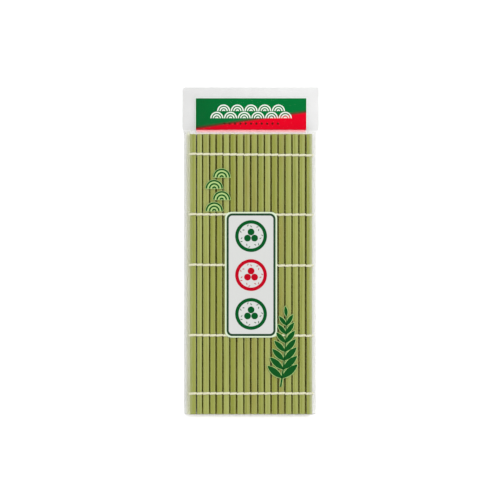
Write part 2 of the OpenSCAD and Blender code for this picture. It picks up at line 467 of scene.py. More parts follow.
@dataclass(frozen=True)
class BambooFinish:
    """Green-skinned split bamboo, planed on its edges and sealed with a thin varnish."""

    skin: Colour = screen(128, 134, 49)
    pale: Colour = screen(148, 155, 84)
    dry: Colour = screen(134, 122, 58)
    fibre: Colour = screen(92, 98, 8)
    cut_edge: Colour = screen(184, 192, 116)
    flank_shade: Colour = screen(22, 27, 0)
    open_flank: Colour = screen(146, 146, 64)
    inner_wood: Colour = screen(156, 146, 62)
    end_grain: Colour = screen(168, 154, 92)

    def material(
            self, name: str, box: tuple[Vector, Vector], outwards: int, open_side: int,
            mood: "SlatMood") -> bpy.types.Material:
        """Makes the material of one slat.

        Args:
            name: The material's name.
            box: The slat's lowest and highest corners.
            outwards: 1 where the skin faces up, -1 where it faces down.
            open_side: 1 or -1 where that side of the slat faces no other slat, and 0 elsewhere.
            mood: How this slat differs from the others.

        Returns:
            The material.
        """
        graph = Graph(name)
        x, y, z = graph.places()
        low, high = box
        middle, half = (low.x + high.x) / 2, (high.x - low.x) / 2
        level = (z - (low.z + high.z) / 2) * outwards
        fibres = graph.noise((0.32 * MM, 26 * MM, 0.5 * MM), 4.0, 0.6)
        streaks = graph.noise((0.9 * MM, 70 * MM, 3 * MM), 2.0)
        patches = graph.noise((6 * MM, 34 * MM, 6 * MM), 2.0)
        across = (x - middle) / half
        edges = (across.share(0.79, 0.88) * mood.right_edge).most(across.share(-0.79, -0.88) * mood.left_edge)
        flank_shade = level.share(0.8 * MM, 0.67 * MM)
        inside = level.share(-0.84 * MM, -0.96 * MM)
        skin = level.share(0.66 * MM, 0.8 * MM)
        ends = y.share(high.y - 0.1 * MM, high.y).most(y.share(low.y + 0.1 * MM, low.y))
        pores = graph.noise((0.16 * MM, 0.4 * MM, 0.16 * MM), 2.0)
        base = graph.mix(mood.tint, self.skin, self.pale)
        base = graph.mix(patches.share(0.35, 0.75) * mood.dryness, base, self.dry)
        base = graph.mix(edges * (0.55 + fibres * 0.6), base, self.cut_edge)
        vein = abs(across - mood.vein_place).share(0.1, 0.03) * mood.vein_depth
        base = graph.mix(vein * (0.5 + streaks * 0.6), base, self.fibre)
        # Painted shade: the sides of each slat, down in the gaps between slats, are coloured near black; the free outer
        # side of an end slat keeps the wood's own colour
        base = graph.mix(flank_shade, base, self.flank_shade)
        if open_side:
            base = graph.mix(flank_shade * across.share(0.5 * open_side, 0.8 * open_side), base, self.open_flank)
        base = graph.mix(inside, base, self.inner_wood)
        base = graph.mix(streaks.share(0.5, 0.72) * 0.35, base, self.fibre)
        base = graph.mix(fibres.share(0.5, 0.85) * 0.45, base, self.fibre)
        base = graph.mix(ends * (0.6 + pores * 0.5), base, self.end_grain)
        graph.relief(fibres * 0.7 + streaks * 0.3, 0.09 * MM, 0.7)
        return graph.finish(base_color=base, roughness=(0.4 + fibres * 0.24).most(flank_shade * 0.9),
                            coat_weight=skin * 0.45, coat_roughness=0.35, specular_ior_level=0.03)


@dataclass(frozen=True)
class TwineFinish:
    """Unbleached cotton twine of two plies."""

    cotton: Colour = screen(213, 212, 184)
    groove_shade_and_soil: Colour = screen(150, 142, 92)

    def material(self) -> bpy.types.Material:
        """Makes the material."""
        graph = Graph("twine")
        x, y, z = graph.places()
        plies = ((x * 0.86 - y * 1.5 + z * 0.7) * (2 * math.pi / (1.15 * MM))).sine() * 0.5 + 0.5
        fluff = graph.noise((0.12 * MM, 0.3 * MM, 0.12 * MM), 4.0, 0.7)
        soil = graph.noise((9 * MM, 9 * MM, 9 * MM), 2.0)
        # Painted shade in the grooves between the plies; the same dark colour also gives random fluff tone and a little
        # soil
        base = graph.mix(plies.share(0.4, 0.0) * 0.55, self.cotton, self.groove_shade_and_soil)
        base = graph.mix(fluff.share(0.55, 0.9) * 0.3, base, self.groove_shade_and_soil)
        base = graph.mix(soil.share(0.5, 0.8) * 0.15, base, self.groove_shade_and_soil)
        graph.relief(plies * 0.75 + fluff * 0.25, 0.14 * MM, 0.9)
        return graph.finish(base_color=base, roughness=0.85 + fluff * 0.12, sheen_weight=0.25)


@dataclass(frozen=True)
class FilmFinish:
    """Clear film, nearly unseen over the mat and milky where two films lie on each other."""

    haze: Colour = screen(240, 241, 238)
    welded: Colour = screen(166, 166, 164)
    shaded: Colour = screen(226, 228, 176)
    card_reflection: Colour = screen(244, 92, 110)
    card_glow: Colour = (0.85, 0.0, 0.02)
    over_mat: float = 0.001
    in_header: float = 0.08
    in_margin: float = 0.3
    card_reflection_length: float = 4 * MM

    def material(self, mat: tuple[Vector, Vector], mouth: float, card: tuple[Vector, Vector]) -> bpy.types.Material:
        """Makes the film's material.

        Args:
            mat: The folded mat's lowest and highest corners.
            mouth: The Y of the bag's open end.
            card: The header card's lowest and highest corners.

        Returns:
            The material.
        """
        graph = Graph("film")
        x, y, _ = graph.places()
        left, right, top = mat[0].x, mat[1].x, mat[1].y
        left_margin = x.share(left + 0.2 * MM, left - 0.8 * MM)
        right_margin = x.share(right - 0.2 * MM, right + 1.2 * MM) * 0.14
        header = y.share(top - 0.5 * MM, top + 4 * MM)
        low, high = card
        beside = (x - low.x).least(high.x - x)
        on_card = beside.least((y - low.y).least(high.y - y)).share(-0.4 * MM, 0.1 * MM)
        below = y.share(low.y - self.card_reflection_length, low.y) * y.share(low.y + 0.6 * MM, low.y)
        card_reflection = below * beside.share(0.0, 1 * MM) * (1 - on_card)
        ripple = graph.noise((9 * MM, 14 * MM, 9 * MM), 3.0)
        fine = graph.noise((1.6 * MM, 2.4 * MM, 1.6 * MM), 3.0)
        margin = left_margin.most(right_margin) * (1 - header)
        cut_end = y.share(mouth + 0.7 * MM, mouth + 0.4 * MM)
        across = x.share(low.x, high.x)
        # Painted highlight: more opaque pale film just beside the mat's left edge, where the film slopes down over the
        # shadow there
        slope_highlight = x.share(left - 1.5 * MM, left - 0.6 * MM) * x.share(left + 0.2 * MM, left - 0.2 * MM) * (1 - header)
        alpha = (margin * self.in_margin).most(slope_highlight * 0.38).most(cut_end * 0.3)
        milky = self.in_header * (1.1 - across * 0.25) + ripple * 0.02 - 0.01
        over_edges = (x.share(left + 3 * MM, left) * 0.06).most(x.share(right - 3 * MM, right) * 0.13) * (1 - header)
        alpha = alpha.most(header * (1 - on_card) * milky).most(card_reflection * 0.16).most(over_edges) + self.over_mat
        # Painted shade and painted green-yellow reflection of the mat on the film beside the mat's left edge
        near_mat = left_margin * x.share(left - 3.6 * MM, left - 0.6 * MM) * (1 - header)
        base = graph.mix(header.most(cut_end), self.haze, self.welded)
        base = graph.mix(near_mat, base, self.shaded)
        # Painted reflection of the red card on the film just below the card, with a painted red glow by emission there
        base = graph.mix(card_reflection, base, self.card_reflection)
        glow = graph.mix(card_reflection * card_reflection, (0.0, 0.0, 0.0), self.card_glow)
        graph.relief(ripple * 0.8 + fine * 0.2, 0.25 * MM, 0.35)
        return graph.finish(base_color=base, alpha=alpha, roughness=0.16 + fine * 0.1, ior=1.49,
                            emission_color=glow, emission_strength=1.0)


@dataclass(frozen=True)
class InkFinish:
    """Opaque ink printed on the film."""

    name: str
    colour: Colour
    worn: Colour

    def material(self) -> bpy.types.Material:
        """Makes the material."""
        graph = Graph(self.name)
        cloud = graph.noise((4 * MM, 4 * MM, 4 * MM), 3.0)
        grain = graph.noise((0.3 * MM, 0.3 * MM, 0.3 * MM), 3.0)
        base = graph.mix(cloud.share(0.35, 0.75) * 0.5, self.colour, self.worn)
        graph.relief(grain, 0.02 * MM, 0.4)
        return graph.finish(base_color=base, roughness=0.5 + grain * 0.16, specular_ior_level=0.03)


@dataclass(frozen=True)
class CardFinish:
    """Coated card, printed green over red along a soft slant, darker at its left end and along its rim."""

    green: Colour = screen(0, 102, 46)
    red: Colour = screen(206, 0, 30)
    between: Colour = screen(80, 52, 36)
    shade: Colour = screen(10, 10, 8)
    paper: Colour = screen(226, 240, 232)
    rim: Colour = screen(60, 30, 24)
    rim_width: float = 0.7 * MM

    def material(self, low: Vector, high: Vector, slant: tuple[float, float]) -> bpy.types.Material:
        """Makes the card's material.

        Args:
            low: The card's lowest corner.
            high: The card's highest corner.
            slant: The Y of the colours' border at the card's left end and at its right end.

        Returns:
            The material.
        """
        graph = Graph("header_card")
        x, y, _ = graph.places()
        along = (x - low.x) / (high.x - low.x)
        split = along * (slant[1] - slant[0]) + slant[0]
        leaving_green = (split - y).share(-1.7 * MM, 0.0)
        reaching_red = (split - y).share(0.0, 1.5 * MM)
        inset = (x - low.x).least(high.x - x).least((y - low.y).least(high.y - y))
        rim = inset.share(self.rim_width, 0.0)
        grain = graph.noise((0.4 * MM, 0.4 * MM, 0.4 * MM), 3.0)
        base = graph.mix(leaving_green, self.green, self.between)
        base = graph.mix(reaching_red, base, self.red)
        base = graph.mix(along.share(0.42, 0.08) * 0.24, base, self.shade)
        base = graph.mix(rim * (0.2 + grain * 0.2), base, self.rim)
        printed = (x - low.x).least(high.x - x).least(high.y - y).share(-0.04 * MM, 0.04 * MM)
        base = graph.mix(printed, self.paper, base)
        graph.relief(grain, 0.02 * MM, 0.5)
        return graph.finish(base_color=base, roughness=0.5 + grain * 0.15, specular_ior_level=0.02)


@dataclass(frozen=True)
class PanelFinish:
    """White ink with a pale rim and a green line inside it."""

    fill: Colour = screen(191, 192, 190)
    rim: Colour = screen(194, 209, 182)
    line: Colour = screen(0, 50, 20)
    line_inset: float = 1.26 * MM
    line_width: float = 1.9 * MM
    line_rounding: float = 1.1 * MM

    def material(self, middle: Vector, half: tuple[float, float], corner: float) -> bpy.types.Material:
        """Makes the panel's material.

        Args:
            middle: The panel's middle.
            half: Half of its width and half of its height.
            corner: The radius of its corners.

        Returns:
            The material.
        """
        graph = Graph("front_panel")
        x, y, _ = graph.places()
        corner += self.line_rounding
        dx = abs(x - middle.x) - (half[0] - corner)
        dy = abs(y - middle.y) - (half[1] - corner)
        outside = (dx.most(0.0) ** 2.0 + dy.most(0.0) ** 2.0) ** 0.5
        depth = corner - outside - dx.most(dy).least(0.0)
        soft = 0.07 * MM
        inner = self.line_inset + self.line_width
        line = depth.share(self.line_inset - soft, self.line_inset + soft) * depth.share(inner + soft, inner - soft)
        rim = depth.share(self.line_inset + soft, self.line_inset - soft)
        cloud = graph.noise((14 * MM, 14 * MM, 14 * MM), 2.0)
        grain = graph.noise((0.3 * MM, 0.3 * MM, 0.3 * MM), 3.0)
        base = graph.mix(rim, self.fill, self.rim)
        base = graph.mix(cloud.share(0.3, 0.8) * 0.12, base, screen(186, 187, 184))
        base = graph.mix(line, base, self.line)
        graph.relief(grain, 0.02 * MM, 0.4)
        return graph.finish(base_color=base, roughness=0.5 + grain * 0.14, specular_ior_level=0.2)


# The mat


@dataclass
class Slats:
    """The 36 bamboo slats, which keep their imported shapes."""

    finish: BambooFinish = field(default_factory=BambooFinish)
    seed: int = 24

    def dress_all(self) -> None:
        """Gives each slat bamboo of its own tint."""
        rng = random.Random(self.seed)
        for leaf in Leaf:
            for number in range(1, SLATS_PER_LEAF + 1):
                name = f"{leaf.word}_slat_{number:02d}"
                mood = SlatMood(rng.uniform(0.0, 0.9), rng.choice((0.05, 0.15, 0.3, 0.6)),
                                rng.choice((0.4, 0.6, 0.9)), rng.choice((0.1, 0.3, 0.6)),
                                rng.uniform(-0.6, 0.6), rng.choice((0.0, 0.3, 0.6, 0.9)))
                open_side = {1: -1, SLATS_PER_LEAF: 1}.get(number, 0)
                material = self.finish.material(
                    f"bamboo_{leaf.word}_{number:02d}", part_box(name), leaf.value, open_side, mood)
                dress(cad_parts[name], material)
        LOG.info("slats dressed")


@dataclass(frozen=True)
class Strand:
    """One stretch of a strand: a tube of eight sides through rings of a middle, a width and a thickness."""

    rings: tuple[tuple[Point, float, float], ...]
    sides: int = 8

    def build(self, name: str) -> bpy.types.Object:
        """Builds the tube by extruding a cylinder ring by ring, then laying it along its way.

        Args:
            name: The name of the piece.

        Returns:
            The tube.
        """
        deselect()
        bpy.ops.mesh.primitive_cylinder_add(
            vertices=self.sides, radius=1, depth=1, end_fill_type="NGON", location=(0, 0, 0.5))
        tube = added(name)
        with editing(tube):
            pick_faces(tube, lambda middle, normal: normal.z > 0.5)
            for _ in range(len(self.rings) - 2):
                bpy.ops.mesh.extrude_region_move(TRANSFORM_OT_translate={"value": (0, 0, 1)})
        reshape(tube, self._laid)
        tube.data.shade_smooth()
        return tube

    def _laid(self, place: Vector) -> Vector:
        """Returns where a vertex of the straight tube goes."""
        index = round(place.z)
        middle, width, thickness = self.rings[index]
        before = Vector(self.rings[max(0, index - 1)][0])
        after = Vector(self.rings[min(len(self.rings) - 1, index + 1)][0])
        way = (after - before).normalized()
        side = Vector((0, 1, 0))
        side = (side - way * side.dot(way)).normalized()
        up = way.cross(side)
        return Vector(middle) + side * (place.x * width / 2) + up * (place.y * thickness / 2)


@dataclass
class Lashings:
    """The five rows of twine: two strands that cross in each gap, one outside and one inside each slat."""

    finish: TwineFinish = field(default_factory=TwineFinish)
    top_inset: float = 17 * MM
    bottom_inset: float = 17.9 * MM
    shares: tuple[float, ...] = (0, 0.252, 0.463, 0.757, 1)
    drifts: tuple[float, ...] = (-1.3 * MM, -0.5 * MM, -0.8 * MM, -0.4 * MM, 0.0)
    pattern_width: float = 4.9 * MM
    gap: float = 0.93 * MM
    offset: float = 0.5 * MM
    crossing: float = 1.12 * MM
    seed: int = 7

    def _pass(self, outside: bool) -> Strand:
        """Returns the strand that goes over, or under, a slat of the usual width at the origin."""
        half = self.pattern_width / 2
        reach = half + self.gap / 2
        way = 1 if outside else -1
        # Each ring of one half: X, height, width, thickness and how far it has gone to its side of the row
        if outside:
            stations = (
                (reach, self.crossing, 1.36 * MM, 0.72 * MM, 0.76),
                (half + 0.3 * MM, 1.22 * MM, 1.44 * MM, 0.72 * MM, 0.72),
                (half + 0.1 * MM, 1.36 * MM, 1.56 * MM, 0.72 * MM, 0.66),
                (half - 0.12 * MM, 1.45 * MM, 1.76 * MM, 0.72 * MM, 0.52),
                (half * 0.6, 1.5 * MM, 2.04 * MM, 0.74 * MM, 0.16),
            )
        else:
            stations = (
                (reach, -self.crossing, 1.3 * MM, 0.66 * MM, 0.76),
                (half + 0.4 * MM, 0.1 * MM, 1.04 * MM, 0.62 * MM, 1.0),
                (half + 0.3 * MM, 1.0 * MM, 1.14 * MM, 0.64 * MM, 0.92),
                (half - 0.08 * MM, 1.42 * MM, 1.72 * MM, 0.7 * MM, 0.62),
                (half * 0.6, 1.5 * MM, 2.04 * MM, 0.74 * MM, 0.16),
            )
        rising = [(-x, z, w, t, -s) for x, z, w, t, s in stations]
        falling = list(reversed(stations))
        rings = []
        for x, z, wide, thick, sideways in [*rising, (0.0, 1.5 * MM, 2.1 * MM, 0.74 * MM, 0.0), *falling]:
            rings.append(((x, way * self.offset * sideways, way * z), wide, thick))
        return Strand(tuple(rings))

    def _loop(self, climbing: bool) -> Strand:
        """Returns a strand round the fold, from the back leaf to the front leaf, in the frame of the part.

        Args:
            climbing: True for the strand that starts outside the back leaf.
        """
        low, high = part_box("back_slat_01")
        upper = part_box("front_slat_01")
        back_z, front_z = (low.z + high.z) / 2, (upper[0].z + upper[1].z) / 2
        half_way = (back_z + front_z) / 2
        # X from the slats' edge, height from half-way between the leaves, width and thickness
        stations = (
            (-0.45 * MM, -1.95 * MM - self.crossing, 1.0 * MM, 0.62 * MM),
            (-0.54 * MM, -2.1 * MM, 0.96 * MM, 0.62 * MM),
            (-0.64 * MM, -1.35 * MM, 0.98 * MM, 0.62 * MM),
            (-0.74 * MM, -0.7 * MM, 1.0 * MM, 0.62 * MM),
            (-0.66 * MM, -0.1 * MM, 1.0 * MM, 0.62 * MM),
            (-0.34 * MM, 0.34 * MM, 1.0 * MM, 0.62 * MM),
            (0.05 * MM, 0.52 * MM, 1.1 * MM, 0.62 * MM),
            (0.5 * MM, 0.57 * MM, 1.4 * MM, 0.64 * MM),
        )
        way = 1 if climbing else -1
        rings = [((low.x + x, way * self.offset, half_way + way * z), w, t) for x, z, w, t in stations]
        return Strand(tuple(rings if climbing else reversed(rings)))

    def _row_y(self, row: int, x: float) -> float:
        """Returns the Y of a row at this X."""
        low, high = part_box("front_slat_01")
        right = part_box("front_slat_18")[1].x
        top, bottom = high.y - self.top_inset, low.y + self.bottom_inset
        return top + (bottom - top) * self.shares[row] + self.drifts[row] * (x - low.x) / (right - low.x)

    def _reaches(self, leaf: Leaf, number: int) -> tuple[float, float]:
        """Returns how much of the pattern's reach a slat's lashing has to its left and to its right.

        Args:
            leaf: The slat's leaf.
            number: The slat's number, counted from the fold.
        """
        low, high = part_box(f"{leaf.word}_slat_{number:02d}")
        gaps = [self.gap, self.gap]
        if number > 1:
            gaps[0] = low.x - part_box(f"{leaf.word}_slat_{number - 1:02d}")[1].x
        if number < SLATS_PER_LEAF:
            gaps[1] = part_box(f"{leaf.word}_slat_{number + 1:02d}")[0].x - high.x
        wide = high.x - low.x
        return tuple((wide + gap) / (self.pattern_width + self.gap) for gap in gaps)

    def _knot(self) -> bpy.types.Object:
        """Builds the small knot of both strands that ends a row, at the origin."""
        deselect()
        bpy.ops.mesh.primitive_torus_add(
            major_segments=12, minor_segments=7, major_radius=0.52 * MM, minor_radius=0.3 * MM,
            location=(0, 0, 0), rotation=(0, math.radians(90), 0))
        wrap = added("knot_wrap")
        reshape(wrap, lambda p: (p.x * 0.9, p.y * 1.25, p.z * 0.9 + 0.12 * p.y))
        tails = []
        for way in (-1, 1):
            rings = (
                ((-0.1 * MM, way * 0.1 * MM, 0.0), 0.6 * MM, 0.55 * MM),
                ((0.2 * MM, way * 0.35 * MM, 0.1 * MM), 0.66 * MM, 0.6 * MM),
                ((0.42 * MM, way * 0.75 * MM, 0.0), 0.6 * MM, 0.5 * MM),
                ((0.5 * MM, way * 1.15 * MM, -0.1 * MM), 0.42 * MM, 0.32 * MM),
            )
            tails.append(Strand(rings, 6).build("knot_tail"))
        wrap.data.shade_smooth()
        return joined([wrap, *tails], "knot")

    def build(self) -> None:
        """Builds the twine on each slat, the knots at the free edges and the loops round the fold."""
        rng = random.Random(self.seed)
        material = self.finish.material()
        over, under = self._pass(True).build("over"), self._pass(False).build("under")
        unit = joined([over, under], "lashing_unit")
        knot = self._knot()
        pieces = []
        for leaf in Leaf:
            turn = Matrix.Identity(4) if leaf is Leaf.FRONT else Matrix.Rotation(math.pi, 4, "Y")
            for number in range(1, SLATS_PER_LEAF + 1):
                body = f"{leaf.word}_slat_{number:02d}"
                low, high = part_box(body)
                middle = (low + high) / 2
                to_left, to_right = self._reaches(leaf, number)
                parts = []
                for row in range(len(self.shares)):
                    place = Vector((middle.x, self._row_y(row, middle.x) + rng.uniform(-0.12, 0.12) * MM, middle.z))
                    lashed = copied(unit, turn)
                    reshape(lashed, lambda p: (p.x * (to_right if p.x > 0 else to_left), p.y, p.z))
                    lashed.data.transform(Matrix.Translation(place))
                    parts.append(lashed)
                    if number == SLATS_PER_LEAF:
                        knot_place = Vector((high.x + 0.5 * MM, place.y, middle.z + leaf.value * 0.7 * self.crossing))
                        parts.append(copied(knot, Matrix.Translation(knot_place) @ turn.to_3x3().to_4x4()
                                            if leaf is Leaf.FRONT else Matrix.Translation(knot_place)))
                lashing = joined(parts, f"lashing_{leaf.word}_{number:02d}")
                dress(lashing, material)
                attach(lashing, body)
                pieces.append(lashing)
        remove(unit)
        remove(knot)
        fold = self._fold(material)
        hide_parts(*[f"string_row_{k}" for k in range(1, len(self.shares) + 1)])
        LOG.info("%d lashings and the fold loops built", len(pieces))

    def _fold(self, material: bpy.types.Material) -> bpy.types.Object:
        """Builds the loops round the fold.

        Args:
            material: The twine.

        Returns:
            The loops, as one piece.
        """
        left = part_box("front_slat_01")[0].x
        loops = []
        pair = [self._loop(climbing).build("loop") for climbing in (True, False)]
        for row in range(len(self.shares)):
            shift = Matrix.Translation((0, self._row_y(row, left), 0))
            loops.extend(copied(loop, shift) for loop in pair)
        for loop in pair:
            remove(loop)
        fold = joined(loops, "fold_loops")
        dress(fold, material)
        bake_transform(fold)
        return fold


# The bag


@dataclass
class Bag:
    """The clear bag: a back film, a front film that lies over the mat and over the header card, and its prints."""

    finish: FilmFinish = field(default_factory=FilmFinish)
    round_corner: float = 2.2 * MM
    sharp_corner: float = 0.6 * MM
    left_overhang: float = 1.6 * MM
    right_overhang: float = 2.6 * MM
    step_low: float = -0.5 * MM
    step_high: float = 5.2 * MM
    skin: float = 0.06 * MM
    cells: tuple[int, int] = (110, 220)
    card_margin: float = 0.6 * MM
    settle_height: float = 0.44 * MM
    settle_keep: float = 0.008

    def __post_init__(self) -> None:
        """Reads the bag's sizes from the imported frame."""
        low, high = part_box("bag_back_film")
        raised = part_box("bag_front_film")
        self.bottom, self.top = low.y, high.y
        self.body_half = high.x - 1.9 * MM
        self.film_z = raised[1].z - 0.1 * MM
        self.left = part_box("front_slat_01")[0].x
        self.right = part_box("front_slat_18")[1].x
        self.slats_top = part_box("front_slat_01")[1].y
        self.middle_y = (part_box("front_slat_01")[0].y + self.slats_top) / 2
        self.card_low, self.card_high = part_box("header_card")

    def reach(self, y: float, side: int) -> float:
        """Returns how far the bag reaches from X = 0 at this Y.

        Args:
            y: Place along the bag.
            side: -1 for the fold's side, 1 for the free edges' side.
        """
        overhang = self.right_overhang if side > 0 else self.left_overhang
        step = smooth((y - self.slats_top - self.step_low) / (self.step_high - self.step_low))
        wide = self.body_half + overhang * step
        top_corner = self.sharp_corner if side > 0 else self.round_corner
        for distance, corner in ((y - self.bottom, self.sharp_corner), (self.top - y, top_corner)):
            lost = max(0.0, corner - distance)
            wide -= corner - math.sqrt(max(0.0, corner ** 2 - lost ** 2))
        return wide

    def height(self, x: float, y: float) -> float:
        """Returns the Z of the front film.

        Args:
            x: Place across the mat.
            y: Place along it.
        """
        edge = 0.3 * MM
        header = 0.58 * MM
        to_left = smooth((x + self.body_half - 0.4 * MM) / (self.left + self.body_half + 0.4 * MM))
        to_right = smooth((self.body_half - x - 0.4 * MM) / (self.body_half - self.right + 0.2 * MM))
        sag = 0.12 * MM * (1 + math.sin(x * 61 + 1.3) * math.sin(y * 47 + 0.4))
        wave = 0.05 * MM * math.sin(y * 170 + x * 30)
        raised = self.film_z - sag + wave * (1 - to_left * to_right)
        top = edge + (raised - edge) * to_left * to_right
        down = smooth((y - self.slats_top - 0.3 * MM) / (3.6 * MM))
        rim = min(self.reach(y, 1 if x > 0 else -1) - abs(x), self.top - y)
        flat = edge + (header - edge) * smooth(rim / (2.5 * MM))
        buckle = 0.1 * MM * math.sin(x * 190 + 2) * down * smooth((y - self.slats_top) / (2 * MM)) * math.exp(
            -max(0.0, y - self.slats_top) / (6 * MM))
        return top * (1 - down) + flat * down + buckle

    def _sheet(self, name: str, surface: Callable[[float, float], float], cells: tuple[int, int]) -> bpy.types.Object:
        """Builds one film from a grid.

        Args:
            name: The name of the piece.
            surface: Gives the film's Z at a place.
            cells: How many cells the grid has each way.

        Returns:
            The film, with its thickness.
        """
        deselect()
        bpy.ops.mesh.primitive_grid_add(
            x_subdivisions=cells[0], y_subdivisions=cells[1], size=2, location=(0, 0, 0))
        sheet = added(name)

        def laid(place: Vector) -> Point:
            """Spreads the grid over the bag, finer towards its edges."""
            across = math.sin(place.x * math.pi / 2) * 0.45 + place.x * 0.55
            along = math.sin(place.y * math.pi / 2) * 0.35 + place.y * 0.65
            y = self.bottom + (self.top - self.bottom) * (along + 1) / 2
            x = across * self.reach(y, 1 if across > 0 else -1)
            return x, y, surface(x, y)

        reshape(sheet, laid)
        modify(sheet, "SOLIDIFY", thickness=self.skin, offset=1)
        sheet.data.shade_smooth()
        return sheet

    def flatten(self, piece: bpy.types.Object, keep: float) -> None:
        """Lets a piece ride on the bag and gives it a mesh of its own.

        Args:
            piece: The piece.
            keep: Not used.
        """
        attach(piece, "bag")
        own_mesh(piece)

    def build(self) -> None:
        """Builds both films and the header card."""
        mat = (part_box("front_slat_01")[0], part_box("front_slat_18")[1])
        material = self.finish.material(mat, self.bottom, (self.card_low, self.card_high))
        front = self._sheet("bag_film_front", self.height, self.cells)
        dress(front, material)
        self.flatten(front, self.settle_keep)
        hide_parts("bag_front_film")
        back = self._sheet("bag_film_back", lambda x, y: 0.05 * MM, (60, 120))
        dress(back, material)
        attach(back, "bag")
        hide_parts("bag_back_film")
        self._card()
        LOG.info("bag built")

    def _card(self) -> None:
        """Builds the header card with softened corners."""
        low, high = self.card_low, self.card_high
        deselect()
        from_corner = low - Vector((self.card_margin, 0, 0))
        to_corner = high + Vector((self.card_margin, self.card_margin, 0))
        bpy.ops.mesh.primitive_cube_add(
            size=1, location=(from_corner + to_corner) / 2, scale=to_corner - from_corner)
        card = added("header_card_board")
        with editing(card):
            pick_faces(card, lambda middle, normal: normal.z > 0.5)
            bpy.ops.transform.translate(value=(0, 0, -0.06 * MM))
            bpy.ops.mesh.select_all(action="SELECT")
            bpy.ops.mesh.bevel(offset=0.04 * MM, segments=1)
        slant = (low.y + 1.7 * MM, high.y - 11.7 * MM)
        dress(card, CardFinish().material(low, high, slant))
        soften(card, 30)
        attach(card, "bag")
        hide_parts("header_card")


class Ink(Enum):
    """The printing inks, each with its colour as a screen shows it and its worn colour."""

    GREEN = ((0, 73, 28), (2, 80, 34))
    RED = ((167, 0, 24), (172, 8, 32))
    DARK = ((8, 72, 24), (18, 82, 32))
    BROWN = ((70, 20, 12), (82, 28, 18))
    HALO = ((160, 186, 118), (152, 178, 110))
    WHITE = ((214, 222, 212), (206, 214, 206))

    def material(self) -> bpy.types.Material:
        """Makes this ink's material."""
        colour, worn = self.value
        return InkFinish(f"ink_{self.name.lower()}", screen(*colour), screen(*worn)).material()


